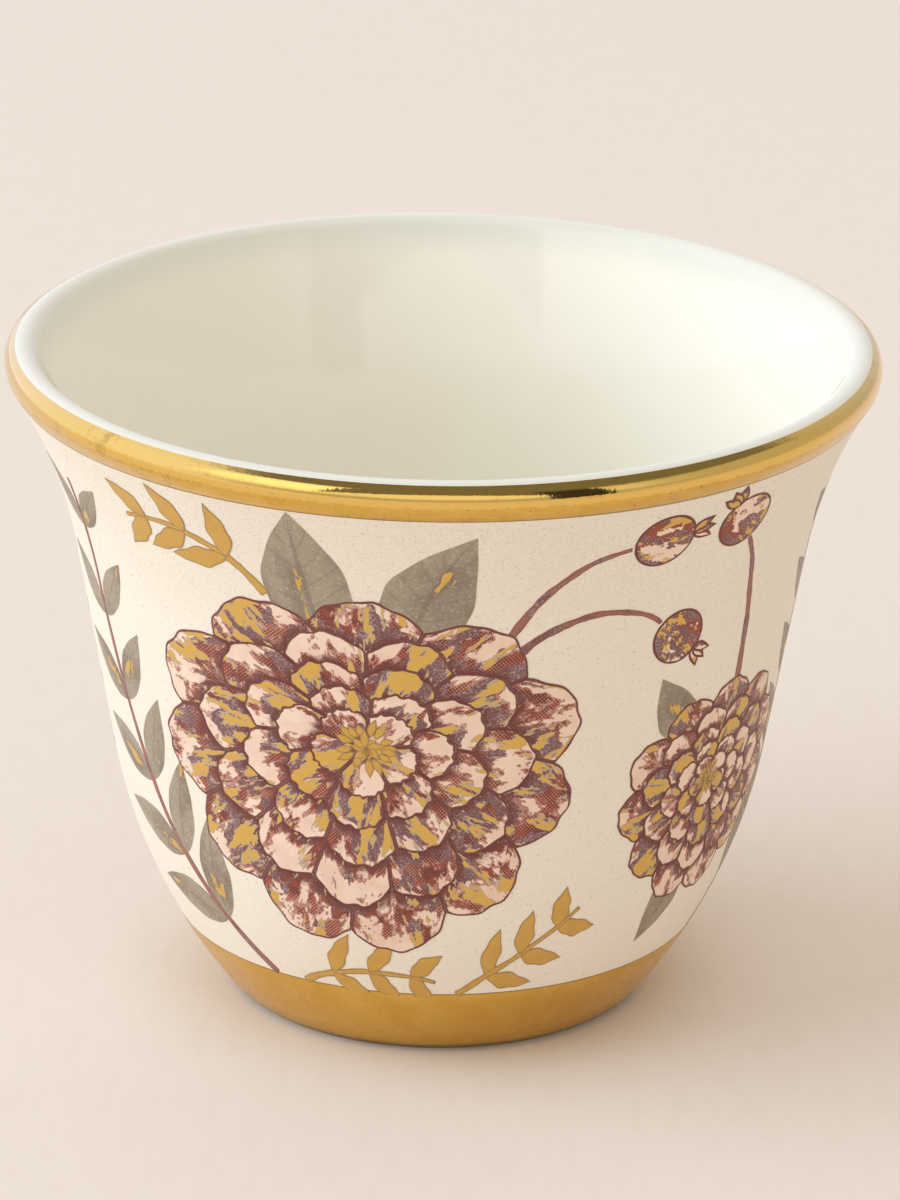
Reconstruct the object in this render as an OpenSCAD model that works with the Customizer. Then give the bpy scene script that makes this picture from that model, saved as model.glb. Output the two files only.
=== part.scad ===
// Arabic coffee cup: a handleless porcelain cup with a flared lip, gilded at the lip and the
// foot, with a transfer printed flower pattern round the wall.
// The origin is the middle of the foot on the table, Z points up, and the front faces -Y.

/* [Cup] */
// Diameter across the outside of the lip
rim_d = 68; // [64:1:74]
// Height from the table to the top of the lip
cup_h = 53; // [49:1:59]
// Diameter of the foot, where the curve of the belly would meet the table
foot_d = 32; // [29:0.5:35]
// Thickness of the wall with its glaze, and of the rounded lip
wall_t = 2.8; // [2.4:0.1:3.4]
// Thickness of the floor with its glaze
floor_t = 3.2; // [2.6:0.1:4.2]

/* [Curves] */
// Lean of the straight part of the wall, in degrees from upright
wall_lean = 10; // [8:0.5:12]
// Lean of the wall just under the lip, in degrees from upright
lip_lean = 31; // [26:1:36]
// Radius of the hollow flare under the lip
flare_r = 41; // [36:1:46]
// Radius of the full belly above the foot
belly_r = 43; // [38:1:48]
// Radius of the round between floor and wall inside the cup
bowl_r = 10; // [7:0.5:12]

/* [Foot] */
// Width of the flat ring that the cup stands on
foot_ring_w = 2.2; // [1.6:0.1:3]
// Depth of the recess under the cup
recess_h = 1.5; // [1:0.1:2.2]
// Radius of the outer edge of the foot
foot_edge_r = 0.8; // [0.5:0.1:1.2]
// Radius of the inner edge of the foot
ring_edge_r = 0.5; // [0.3:0.1:0.7]

/* [Glaze and gold] */
// Thickness of the white glaze and of the ivory ground
skin_t = 0.16; // [0.12:0.01:0.24]
// Thickness of the fired gold bands
gilding_t = 0.08; // [0.06:0.01:0.12]
// Depth of the gold band from the top of the lip down the wall
rim_band_h = 3; // [2.8:0.1:5]
// Height of the gold band above the table
foot_band_h = 6.7; // [5:0.1:8]
// How far up the lip the gold reaches, in degrees above level
gold_reach = 62; // [45:1:80]
// How far down the lip the white glaze reaches, in degrees below level
glaze_reach = 5; // [0:1:15]

/* [Flower transfer] */
// Thickness of the fired transfer
transfer_t = 0.08; // [0.06:0.01:0.12]
// Bare ground left between neighbouring shapes
print_gap = 0.3; // [0.2:0.05:0.5]
// Diameter of the large dahlia
dahlia_d = 35; // [30:1:38]
// Diameter of the small dahlia
small_dahlia_d = 21; // [18:1:24]
// Length of the lowest leaf of a tall frond
leaf_l = 10; // [8:0.5:11]
// Width of the lowest leaf of a tall frond
leaf_w = 3.7; // [2.8:0.1:4.4]
// Width of a printed stem
stem_w = 0.7; // [0.5:0.1:1]
// Diameter of a rose hip
hip_d = 4.6; // [3.6:0.1:5.4]
// Length of the lowest leaf of a gold sprig
sprig_leaf_l = 5.4; // [4.4:0.2:6.4]
// Width of a leaf of a gold sprig
sprig_leaf_w = 1.7; // [1.4:0.1:2]

/* [Hidden] */
$fn = 96;

lip_r = wall_t / 2;
floor_z = recess_h + floor_t;

// Centres of the curves of the wall, from the lip down, as [radius, height]
function along(lean) = [sin(lean), cos(lean)];
function outward(lean) = [cos(lean), -sin(lean)];
lip_c = [rim_d / 2 - lip_r, cup_h - lip_r];
flare_c = lip_c + (lip_r + flare_r) * outward(lip_lean);
flare_foot = flare_c - flare_r * outward(wall_lean);
// The belly leaves the straight wall so that it runs down to the foot
to_foot = flare_foot - [foot_d / 2, 0];
belly_turn = acos(1 - to_foot * outward(wall_lean) / belly_r);
straight_l = to_foot * along(wall_lean) - belly_r * sin(belly_turn);
belly_c = flare_foot - straight_l * along(wall_lean) - belly_r * outward(wall_lean);

// A round of radius r fits inside the wall and on level z. The wall is an arc about the belly's
// centre and is straight above it. Lean of the wall where the round leaves it:
function round_lean(arc_r, z, r) = max(wall_lean, asin((belly_c[1] - z - r) / (arc_r - r)));
// Centre of that round, moved up along the wall where that is straight
function round_c(arc_r, z, r) =
    let (lean = round_lean(arc_r, z, r), c = belly_c + (arc_r - r) * outward(lean))
    c + (z + r - c[1]) / cos(lean) * along(lean);
foot_c = round_c(belly_r, 0, foot_edge_r);
foot_lean = round_lean(belly_r, 0, foot_edge_r);
bowl_c = round_c(belly_r - wall_t, floor_z, bowl_r);
bowl_lean = round_lean(belly_r - wall_t, floor_z, bowl_r);
ring_r = foot_c[0] - foot_ring_w;

// Largest distance of a curve from its chords
chord_gap = 0.02;
// A station is a point of the finished surface with the direction that faces out of the wall.
// An arc that turns by nothing has none.
function arc_stations(c, r, from, to, side = 1) =
    let (steps = ceil(abs(to - from) / (2 * acos(1 - chord_gap / r))))
    steps == 0 ? [] :
        [for (i = [0:steps]) let (a = from + (to - from) * i / steps, d = [cos(a), sin(a)])
            [c + r * d, side * d]];

// Angle on the foot's outer edge where glaze and gold stop, clear of the table
foot_stop = -60;
// Angle on the foot's inner edge where the glaze of the recess stops, clear of the table
recess_stop = 210;
// The outer wall from the foot to the lip
wall = concat(
    arc_stations(foot_c, foot_edge_r, foot_stop, -foot_lean),
    arc_stations(belly_c, belly_r, -foot_lean, -wall_lean),
    arc_stations(flare_c, flare_r, 180 - wall_lean, 180 - lip_lean, -1));
// One value of each station beside its height
function wall_column(part, axis) = [for (s = wall) [s[0][1], s[part][axis]]];
wall_table = wall_column(0, 0);
facing_tables = [wall_column(1, 0), wall_column(1, 1)];
function station_at(z) = [[lookup(z, wall_table), z], [for (table = facing_tables) lookup(z, table)]];
// The part of the wall between two heights
function wall_part(low, high) =
    concat([station_at(low)],
           [for (s = wall) if (s[0][1] > low + chord_gap && s[0][1] < high - chord_gap) s],
           [station_at(high)]);
print_low = foot_band_h;
print_high = cup_h - rim_band_h;
foot_band = wall_part(wall[0][0][1], print_low);
print_wall = wall_part(print_low, print_high);
rim_wall = wall_part(print_high, wall[len(wall) - 1][0][1]);
lip_below = arc_stations(lip_c, lip_r, -lip_lean, -glaze_reach);
lip_gold = arc_stations(lip_c, lip_r, -glaze_reach, gold_reach);
lip_white = arc_stations(lip_c, lip_r, gold_reach, 180 - lip_lean);
inside = concat(
    arc_stations(flare_c, flare_r + wall_t, 180 - lip_lean, 180 - wall_lean),
    arc_stations(belly_c, belly_r - wall_t, -wall_lean, -bowl_lean, -1),
    arc_stations(bowl_c, bowl_r, -bowl_lean, -90, -1),
    [[[0, floor_z], [0, 1]]]);
ring_edge_c = [ring_r + ring_edge_r, ring_edge_r];
foot_bottom = concat(
    arc_stations(ring_edge_c, ring_edge_r, recess_stop, 270),
    arc_stations(foot_c, foot_edge_r, -90, foot_stop));
recess = concat(
    [[[0, recess_h], [0, -1]]],
    arc_stations([ring_r - ring_edge_r, recess_h - ring_edge_r], ring_edge_r, 90, 0, -1),
    arc_stations(ring_edge_c, ring_edge_r, 180, recess_stop));

// Points of some stations, moved out of the wall by the lift
function lifted(stations, lift) = [for (s = stations) s[0] + lift * s[1]];
function backwards(points) = [for (i = [len(points) - 1:-1:0]) points[i]];

// A skin that follows some stations round the cup, from one lift to another
module skin(stations, low, high) {
    rotate_extrude()
        polygon(concat(lifted(stations, low), backwards(lifted(stations, high))));
}

print_h = print_high - print_low;
// The pattern is wrapped round the wall at its radius half way up the print
mid_r = lookup((print_low + print_high) / 2, wall_table);
// The pattern repeats twice round the cup
repeats = [0, 180];
repeat_w = PI * mid_r;

// A place in the pattern, from shares of one repeat's width and of the printed height
function place(shares) = [shares[0] * repeat_w, print_low + shares[1] * print_h];
function degrees_round(x) = x / mid_r * 180 / PI;
function turn_of(p) = degrees_round(p[0]);

// A shape of the pattern as it is seen from straight ahead of its middle
module shape(points, turn) {
    polygon([for (p = points)
        [lookup(p[1], wall_table) * sin(degrees_round(p[0]) - turn), p[1]]]);
}
// The transfer's film on the wall, kept only where shapes are stamped through it from one side
module printed(turn) {
    for (repeat = repeats)
        rotate([90, 0, turn + repeat])
            intersection() {
                rotate([-90, 0, 0]) skin(print_wall, 0, transfer_t);
                translate([0, 0, foot_d / 4]) linear_extrude(rim_d / 2) children();
            }
}

leaf_steps = 7;
// Power that brings a leaf's widest place nearer to its foot
leaf_belly_share = 0.8;
// Outline of a leaf from its foot at p, pointing at an angle, bowed by a share of its length
function leaf(p, angle, l, w, bow_share) =
    let (side = function (t, half_w)
             [t * l, bow_share * l * t * (1 - t) + half_w * sin(180 * pow(t, leaf_belly_share))],
         right = [for (i = [0:leaf_steps]) side(i / leaf_steps, -w / 2)],
         left = [for (i = [leaf_steps - 1:-1:1]) side(i / leaf_steps, w / 2)])
    [for (q = concat(right, left))
        p + [q[0] * cos(angle) - q[1] * sin(angle), q[0] * sin(angle) + q[1] * cos(angle)]];
// A size that shrinks along a stem to a share of itself at the tip
function tapered(size, tip_share, t) = size * (1 - (1 - tip_share) * t);

// A curve through the pattern from four control places, its direction and a place beside it
function bend(c, t) = pow(1 - t, 3) * place(c[0]) + 3 * t * pow(1 - t, 2) * place(c[1])
    + 3 * t * t * (1 - t) * place(c[2]) + pow(t, 3) * place(c[3]);
bend_step_share = 0.01;
function bend_angle(c, t) =
    let (d = bend(c, t + bend_step_share) - bend(c, t - bend_step_share)) atan2(d[1], d[0]);
function beside(c, t, off) = let (a = bend_angle(c, t)) bend(c, t) + off * [-sin(a), cos(a)];
stem_steps = 9;
stem_tip_share = 0.5;
// Outline of a stem along a curve
function stem(c) =
    let (run = [for (i = [0:stem_steps]) i / stem_steps],
         half = function (t) tapered(stem_w, stem_tip_share, t) / 2)
    concat([for (t = run) beside(c, t, -half(t))],
           [for (t = backwards(run)) beside(c, t, half(t))]);

// Curves of the stems, from root to end, in shares of the repeat's width and printed height
frond_shares = [
    [[-0.200, 0.00], [-0.310, 0.20], [-0.385, 0.50], [-0.370, 0.90]],
    [[0.400, 0.00], [0.455, 0.20], [0.485, 0.50], [0.455, 0.86]]];
hip_shares = [
    [[0.060, 0.70], [0.100, 0.80], [0.160, 0.80], [0.195, 0.74]],
    [[0.050, 0.72], [0.080, 0.84], [0.110, 0.90], [0.150, 0.91]],
    [[0.310, 0.56], [0.310, 0.70], [0.300, 0.80], [0.275, 0.87]]];
sprig_shares = [
    [[-0.145, 0.81], [-0.175, 0.90], [-0.225, 0.93], [-0.275, 0.90]],
    [[0.025, 0.00], [0.060, 0.05], [0.105, 0.10], [0.150, 0.18]],
    [[-0.160, 0.00], [-0.115, 0.05], [-0.060, 0.06], [0.000, 0.03]]];

// Places of the dahlias, and how far their hearts sit off the middle in shares of the radius
dahlia_shares = [[-0.075, 0.47], [0.300, 0.36]];
heart_shift_shares = [[0.06, 0.16], [-0.08, 0.10]];
// Angles of the leaves that show behind each dahlia
back_leaf_angles = [[68, 98], [125, 250]];
dahlia_sizes = [dahlia_d, small_dahlia_d];
dahlias = [for (i = [0:1])
    [dahlia_shares[i], dahlia_sizes[i], heart_shift_shares[i], back_leaf_angles[i]]];
// Height of a dahlia as a share of its width, because it faces a little upwards
slant_share = 0.9;
// Rings of petals from the outside in: [count, reach and depth as shares of the radius, turn]
ring_shares = [[11, 1.00, 0.13, 4], [11, 0.77, 0.11, 20], [9, 0.57, 0.09, 8],
               [7, 0.40, 0.07, 30], [5, 0.25, 0.05, 12]];
heart_share = 0.12;
// The rings aren't quite round: how far they swell, as a share of their reach, and how often
swell_share = 0.035;
swells = 3;
petal_steps = 8;
heart_steps = 12;
function ring(k) = k < len(ring_shares) ? ring_shares[k] : [1, heart_share, 0, 0];
// Edge of ring k of a dahlia at an angle, moved out by a gap; the last one is the heart's
function ring_edge(flower, k, a, gap = 0) =
    let (r = flower[1] / 2, edge = ring(k),
         petals = (a - edge[3]) * edge[0] / 360, t = 2 * (petals - floor(petals)) - 1,
         reach = edge[1] * (1 + swell_share * sin(swells * a)) - edge[2] * t * t)
    place(flower[0]) + r * (1 - edge[1]) * flower[2]
        + (r * reach + gap) * [cos(a), slant_share * sin(a)];
// Outline of petal i of ring k, clear of the ring inside it and of its neighbours
function petal(flower, k, i) =
    let (span = 360 / ring(k)[0], slit = print_gap / (ring(k)[1] * flower[1]) * 180 / PI,
         from = ring(k)[3] + i * span + slit, to = from + span - 2 * slit,
         angles = [for (j = [0:petal_steps]) from + (to - from) * j / petal_steps])
    concat([for (a = angles) ring_edge(flower, k, a)],
           [for (a = backwards(angles)) ring_edge(flower, k + 1, a, print_gap)]);
module dahlia_rings(rings) {
    for (flower = dahlias) {
        turn = turn_of(place(flower[0]));
        printed(turn)
            for (k = rings)
                for (i = [0:ring(k)[0] - 1])
                    shape(petal(flower, k, i), turn);
    }
}
// What lies at p shows from the side of a turn
function in_view(p, turn) = abs(turn_of(p) - turn) < 90;
dahlia_outline_steps = 72;
// A shape that passes behind the dahlias, cut short of their petals
module behind_dahlias(turn) {
    difference() {
        children();
        for (flower = dahlias)
            if (in_view(place(flower[0]), turn))
                shape([for (i = [1:dahlia_outline_steps])
                    ring_edge(flower, 0, 360 * i / dahlia_outline_steps, print_gap)], turn);
    }
}

// A rose hip is a round fruit with a small crown that points away from its stem
crown_share = 0.3;
hip_steps = 18;
function hip_centre(c) =
    bend(c, 1) + (hip_d / 2 + print_gap) * [cos(bend_angle(c, 1)), sin(bend_angle(c, 1))];
function hip(c, gap = 0) =
    [for (i = [0:hip_steps - 1])
        let (a = bend_angle(c, 1) + 360 * i / hip_steps, reach_share = i == 0 ? 1 + crown_share : 1)
        hip_centre(c) + (hip_d / 2 * reach_share + gap) * [cos(a), sin(a)]];
// A shape that passes behind the rose hips
module behind_hips(turn) {
    difference() {
        children();
        for (c = hip_shares)
            if (in_view(hip_centre(c), turn)) shape(hip(c, print_gap), turn);
    }
}

module porcelain_body() {
    color("ivory")
        rotate_extrude()
            polygon(concat(
                lifted(backwards(inside), -skin_t), lifted(backwards(lip_white), -skin_t),
                lifted(backwards(lip_gold), -skin_t), lifted(backwards(lip_below), -skin_t),
                lifted(backwards(rim_wall), -skin_t), lifted(backwards(print_wall), -skin_t),
                lifted(backwards(foot_band), -skin_t), lifted(backwards(foot_bottom), 0),
                lifted(backwards(recess), -skin_t)));
}

// Clear white glaze inside the cup and over the lip
module inner_glaze() {
    color("white") skin(concat(lip_gold, lip_white, inside), -skin_t, 0);
}

// Satin ivory ground on the outside, from the foot to the lip
module outer_ground() {
    color("linen") skin(concat(foot_band, print_wall, rim_wall, lip_below), -skin_t, 0);
}

// White glaze in the recess under the cup
module base_glaze() {
    color("white") skin(recess, -skin_t, 0);
}

module rim_gilding() {
    color("goldenrod") skin(concat(rim_wall, lip_below, lip_gold), 0, gilding_t);
}

module foot_gilding() {
    color("goldenrod") skin(foot_band, 0, gilding_t);
}

module dahlia_outer_petals() {
    color("rosybrown") dahlia_rings([0, 1]);
}

module dahlia_inner_petals() {
    color("mistyrose") dahlia_rings([2, 3, 4]);
}

module dahlia_hearts() {
    color("gold")
        for (flower = dahlias) {
            turn = turn_of(place(flower[0]));
            printed(turn)
                shape([for (i = [1:heart_steps])
                    ring_edge(flower, len(ring_shares), 360 * i / heart_steps)], turn);
        }
}

module rose_hips() {
    color("indianred")
        for (c = hip_shares) {
            turn = turn_of(hip_centre(c));
            printed(turn) shape(hip(c), turn);
        }
}

module stem_print() {
    color("brown")
        for (c = concat(frond_shares, hip_shares)) {
            turn = turn_of(bend(c, 0.5));
            printed(turn) behind_dahlias(turn) shape(stem(c), turn);
        }
}

// Leaves behind a dahlia: foot, length, width as shares of its radius, and bow
back_leaf_shares = [0.6, 0.72, 0.36, 0.2];
// Leaves of a frond: how far up it they go, how small they get there, and how they turn and bow
leaf_pairs = 6;
leaf_reach_share = 0.92;
leaf_tip_share = 0.58;
leaf_angle = 42;
leaf_bow_share = 0.12;
module leaf_print() {
    color("tan") {
        for (flower = dahlias) {
            turn = turn_of(place(flower[0]));
            r = flower[1] / 2;
            printed(turn) behind_hips(turn) behind_dahlias(turn)
                for (a = flower[3])
                    shape(leaf(place(flower[0]) + r * back_leaf_shares[0] * [cos(a), sin(a)], a,
                               r * back_leaf_shares[1], r * back_leaf_shares[2],
                               back_leaf_shares[3]), turn);
        }
        for (c = frond_shares) {
            turn = turn_of(bend(c, 0.5));
            printed(turn) behind_hips(turn) behind_dahlias(turn)
                for (i = [1:leaf_pairs])
                    for (side = [-1, 1]) {
                        t = leaf_reach_share * i / leaf_pairs;
                        shape(leaf(beside(c, t, side * (stem_w / 2 + print_gap)),
                                   bend_angle(c, t) + side * leaf_angle,
                                   tapered(leaf_l, leaf_tip_share, t),
                                   tapered(leaf_w, leaf_tip_share, t),
                                   -side * leaf_bow_share), turn);
                    }
        }
    }
}

// Leaves of a gold sprig, as above
sprig_pairs = 3;
sprig_reach_share = 0.84;
sprig_tip_share = 0.65;
sprig_angle = 46;
sprig_bow_share = 0.1;
module gold_sprigs() {
    color("gold")
        for (c = sprig_shares) {
            turn = turn_of(bend(c, 0.5));
            printed(turn)
                behind_dahlias(turn) {
                    shape(stem(c), turn);
                    for (i = [1:sprig_pairs])
                        for (side = [-1, 1]) {
                            t = sprig_reach_share * i / sprig_pairs;
                            shape(leaf(bend(c, t), bend_angle(c, t) + side * sprig_angle,
                                       tapered(sprig_leaf_l, sprig_tip_share, t), sprig_leaf_w,
                                       side * sprig_bow_share), turn);
                        }
                }
        }
}

porcelain_body();
inner_glaze();
outer_ground();
base_glaze();
rim_gilding();
foot_gilding();
dahlia_outer_petals();
dahlia_inner_petals();
dahlia_hearts();
rose_hips();
stem_print();
leaf_print();
gold_sprigs();
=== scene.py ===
import math

import bmesh
import bpy
import numpy as np
from mathutils import Matrix


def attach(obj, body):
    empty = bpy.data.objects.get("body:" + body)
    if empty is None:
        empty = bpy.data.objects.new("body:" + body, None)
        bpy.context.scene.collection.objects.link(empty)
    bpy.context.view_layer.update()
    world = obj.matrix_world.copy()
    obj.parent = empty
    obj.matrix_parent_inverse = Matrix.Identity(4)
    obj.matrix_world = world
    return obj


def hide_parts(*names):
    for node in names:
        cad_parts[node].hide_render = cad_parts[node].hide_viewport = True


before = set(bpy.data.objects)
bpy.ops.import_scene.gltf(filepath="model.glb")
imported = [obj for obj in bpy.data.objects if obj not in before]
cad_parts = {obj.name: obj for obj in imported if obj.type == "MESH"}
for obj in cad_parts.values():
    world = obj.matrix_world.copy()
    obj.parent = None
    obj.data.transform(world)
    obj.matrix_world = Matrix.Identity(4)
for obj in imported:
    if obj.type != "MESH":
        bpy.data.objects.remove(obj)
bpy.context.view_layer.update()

# Sizes of the cup in millimetres and leans in degrees from upright, the same as in the CAD model
MM = 0.001
RIM_D = 68.0
CUP_H = 53.0
FOOT_D = 32.0
WALL_T = 2.8
FLOOR_T = 3.2
RECESS_H = 1.5
WALL_LEAN = math.radians(10)
LIP_LEAN = math.radians(31)
FLARE_R = 41.0
BELLY_R = 43.0
BOWL_R = 10.0
FOOT_EDGE_R = 0.8
SKIN_T = 0.16
GILDING_T = 0.08
RIM_BAND_H = 3.0
FOOT_BAND_H = 6.7
GOLD_REACH = math.radians(62)
GLAZE_REACH = math.radians(5)
FOOT_STOP = math.radians(-60)
LIP_R = WALL_T / 2
FLOOR_Z = RECESS_H + FLOOR_T


def outward(lean):
    """The direction out of a wall that leans, as (radius, height)."""
    return np.array([math.cos(lean), -math.sin(lean)])


def along(lean):
    """The direction up a wall that leans."""
    return np.array([math.sin(lean), math.cos(lean)])


# Centres of the wall's curves as (radius, height), from the lip down
LIP_C = np.array([RIM_D / 2 - LIP_R, CUP_H - LIP_R])
FLARE_C = LIP_C + (LIP_R + FLARE_R) * outward(LIP_LEAN)
FLARE_FOOT = FLARE_C - FLARE_R * outward(WALL_LEAN)
TO_FOOT = FLARE_FOOT - np.array([FOOT_D / 2, 0])
BELLY_TURN = math.acos(1 - TO_FOOT @ outward(WALL_LEAN) / BELLY_R)
STRAIGHT_L = TO_FOOT @ along(WALL_LEAN) - BELLY_R * math.sin(BELLY_TURN)
BELLY_C = FLARE_FOOT - STRAIGHT_L * along(WALL_LEAN) - BELLY_R * outward(WALL_LEAN)


def round_c(arc_r, z, r):
    """Centre of a round of radius r that lies inside an arc about the belly's centre and on level z."""
    h = z + r - BELLY_C[1]
    return np.array([BELLY_C[0] + math.sqrt((arc_r - r) ** 2 - h * h), z + r])


def round_lean(c):
    """How far below level the line from the belly's centre to a round's centre runs."""
    return math.atan2(BELLY_C[1] - c[1], c[0] - BELLY_C[0])


FOOT_C = round_c(BELLY_R, 0, FOOT_EDGE_R)
BOWL_C = round_c(BELLY_R - WALL_T, FLOOR_Z, BOWL_R)


def arc(centre, radius, start, end, steps, side=1):
    """Stations along an arc: points of the finished surface, each with its direction out of the wall."""
    a = np.linspace(start, end, steps + 1)
    facing = np.stack([np.cos(a), np.sin(a)], 1)
    return np.hstack([centre + radius * facing, side * facing])


def lifted(stations, lift):
    """Points of the stations, moved off the surface."""
    return stations[:, :2] + lift * stations[:, 2:]


def lean_at(z):
    """The belly's lean at a height."""
    return math.asin((BELLY_C[1] - z) / BELLY_R)


def flare_lean_at(z):
    """The flare's lean at a height."""
    return math.asin((z - FLARE_C[1]) / FLARE_R)


# Stations of the finished surface, from the foot up and then down the inside
BAND_LEAN = flare_lean_at(CUP_H - RIM_BAND_H)
FOOT_BAND = np.vstack([
    arc(FOOT_C, FOOT_EDGE_R, FOOT_STOP, -round_lean(FOOT_C), 8),
    arc(BELLY_C, BELLY_R, -round_lean(FOOT_C), -lean_at(FOOT_BAND_H), 24)[1:]])
PRINT_WALL = np.vstack([
    arc(BELLY_C, BELLY_R, -lean_at(FOOT_BAND_H), -WALL_LEAN, 40),
    arc(FLARE_C, FLARE_R, math.pi - WALL_LEAN, math.pi - BAND_LEAN, 40, -1)])
RIM_WALL = arc(FLARE_C, FLARE_R, math.pi - BAND_LEAN, math.pi - LIP_LEAN, 8, -1)
LIP_BELOW = arc(LIP_C, LIP_R, -LIP_LEAN, -GLAZE_REACH, 10)
LIP_GOLD = arc(LIP_C, LIP_R, -GLAZE_REACH, GOLD_REACH, 24)
LIP_WHITE = arc(LIP_C, LIP_R, GOLD_REACH, math.pi - LIP_LEAN, 24)
INSIDE = np.vstack([
    arc(FLARE_C, FLARE_R + WALL_T, math.pi - LIP_LEAN, math.pi - WALL_LEAN, 36),
    arc(BELLY_C, BELLY_R - WALL_T, -WALL_LEAN, -round_lean(BOWL_C), 30, -1),
    arc(BOWL_C, BOWL_R, -round_lean(BOWL_C), -math.pi / 2, 18, -1),
    [[0, FLOOR_Z, 0, 1]]])

# Faces round the cup, how little of its rise a coat keeps at a feathered edge, and the distance in
# metres within which points are the same
TURNS = 360
EDGE_RISE_SHARE = 0.08
SAME_PLACE = 1e-7


def shade(mesh, angle=math.radians(40)):
    """Smooth shading, with a crease where faces meet at a sharper angle."""
    mesh.polygons.foreach_set("use_smooth", [True] * len(mesh.polygons))
    mesh.set_sharp_from_angle(angle=angle)


def piece(name, mesh, node, material):
    """Puts a finished mesh on the cup in place of the CAD node that it stands for."""
    obj = bpy.data.objects.new(name, mesh)
    bpy.context.scene.collection.objects.link(obj)
    mesh.materials.append(material)
    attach(obj, "root")
    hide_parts(node)


def coat(name, stations, low, high, node, material, feather=0.0):
    """A coat that follows stations round the cup, from one lift to another. It may thin out at its edges."""
    steps = np.hypot(*np.diff(stations[:, :2], axis=0).T)
    run = np.r_[0, np.cumsum(steps)]
    rise = np.full(len(run), high - low)
    if feather:
        share = np.clip(np.minimum(run, run[-1] - run) / feather, 0, 1)
        rise *= EDGE_RISE_SHARE + (1 - EDGE_RISE_SHARE) * share ** 2
    raised = stations[:, :2] + (low + rise)[:, None] * stations[:, 2:]
    outline = np.vstack([lifted(stations, low), raised[::-1]])
    count = len(outline)
    a = np.arange(TURNS) * math.tau / TURNS
    ring = np.stack([np.cos(a), np.sin(a)], 1)
    places = np.zeros((TURNS, count, 3))
    places[:, :, :2] = ring[:, None, :] * np.maximum(outline[None, :, :1], 0)
    places[:, :, 2] = outline[:, 1]
    here = np.arange(TURNS * count).reshape(TURNS, count)
    on = np.roll(here, -1, 0)
    faces = np.stack([here, on, np.roll(on, -1, 1), np.roll(here, -1, 1)], -1).reshape(-1, 4)
    mesh = bpy.data.meshes.new(name)
    mesh.from_pydata((places.reshape(-1, 3) * MM).tolist(), [], faces.tolist())
    work = bmesh.new()
    work.from_mesh(mesh)
    bmesh.ops.remove_doubles(work, verts=work.verts, dist=SAME_PLACE)
    bmesh.ops.recalc_face_normals(work, faces=work.faces)
    work.to_mesh(mesh)
    work.free()
    shade(mesh)
    piece(name, mesh, node, material)


# The flat pattern: x runs round the wall at its middle radius and z is the height, in millimetres
PRINT_LOW = FOOT_BAND_H
PRINT_H = CUP_H - RIM_BAND_H - FOOT_BAND_H
MID_R = float(np.interp(PRINT_LOW + PRINT_H / 2, PRINT_WALL[:, 1], PRINT_WALL[:, 0]))
REPEAT_W = math.pi * MID_R
WALL = np.vstack([FOOT_BAND, PRINT_WALL[1:], RIM_WALL[1:]])


def spot(shares):
    """A point of the flat pattern, from its shares of the repeat's width and the print's height."""
    return np.array([shares[0] * REPEAT_W, PRINT_LOW + shares[1] * PRINT_H])


def on_wall(x, z, lift):
    """Points of the flat pattern, wrapped round the wall and lifted off it."""
    r, nr, nz = (np.interp(z, WALL[:, 1], WALL[:, k]) for k in (0, 2, 3))
    turn = x / MID_R
    reach = r + nr * lift
    return np.stack([reach * np.sin(turn), -reach * np.cos(turn), z + nz * lift], -1)


def edge_distance(x, z, rims):
    """Distance in millimetres from each point of a patch to the nearest of its drawn edges."""
    points = np.stack([x.ravel(), z.ravel()], 1)
    least = np.full(len(points), np.inf)
    for line in rims:
        for start, step in zip(line[:-1], np.diff(line, axis=0)):
            t = np.clip(((points - start) @ step) / max(step @ step, 1e-12), 0, 1)
            least = np.minimum(least, np.hypot(*(points - start - t[:, None] * step).T))
    return least.reshape(x.shape)


# How far apart the noise of two patches is taken
SEED_STEP = 37.0


class Patch:
    """A printed shape: a grid over the flat pattern, with rows across it and columns along it.

    Its petal values are the shares across and along it and the distance to its edge. Its grain values
    are the distances across and along it in millimetres, and a number of its own.
    """

    def __init__(self, x, z, seed, open_foot=False):
        self.x, self.z, self.seed = x, z, seed
        rows, columns = x.shape
        across, lengthwise = np.meshgrid(np.linspace(-1, 1, columns), np.linspace(0, 1, rows))
        grid = np.stack([x, z], -1)
        rims = [grid[-1], grid[:, 0], grid[:, -1]] + ([] if open_foot else [grid[0]])
        edge = edge_distance(x, z, rims)
        middle = grid[:, columns // 2]
        run = np.r_[0, np.cumsum(np.hypot(*np.diff(middle, axis=0).T))]
        half = np.hypot(*(grid[:, -1] - grid[:, 0]).T) / 2
        self.petal = np.stack([across, lengthwise, edge], -1)
        self.grain = np.stack([across * half[:, None], np.repeat(run[:, None], columns, 1),
                               np.full(x.shape, seed * SEED_STEP)], -1)


# Thickness of a printed film, with the steps that keep crossing films apart, in millimetres
FILM_T = 0.03
LAYER_STEP = 0.005
NEIGHBOUR_STEP = 0.0012


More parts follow.
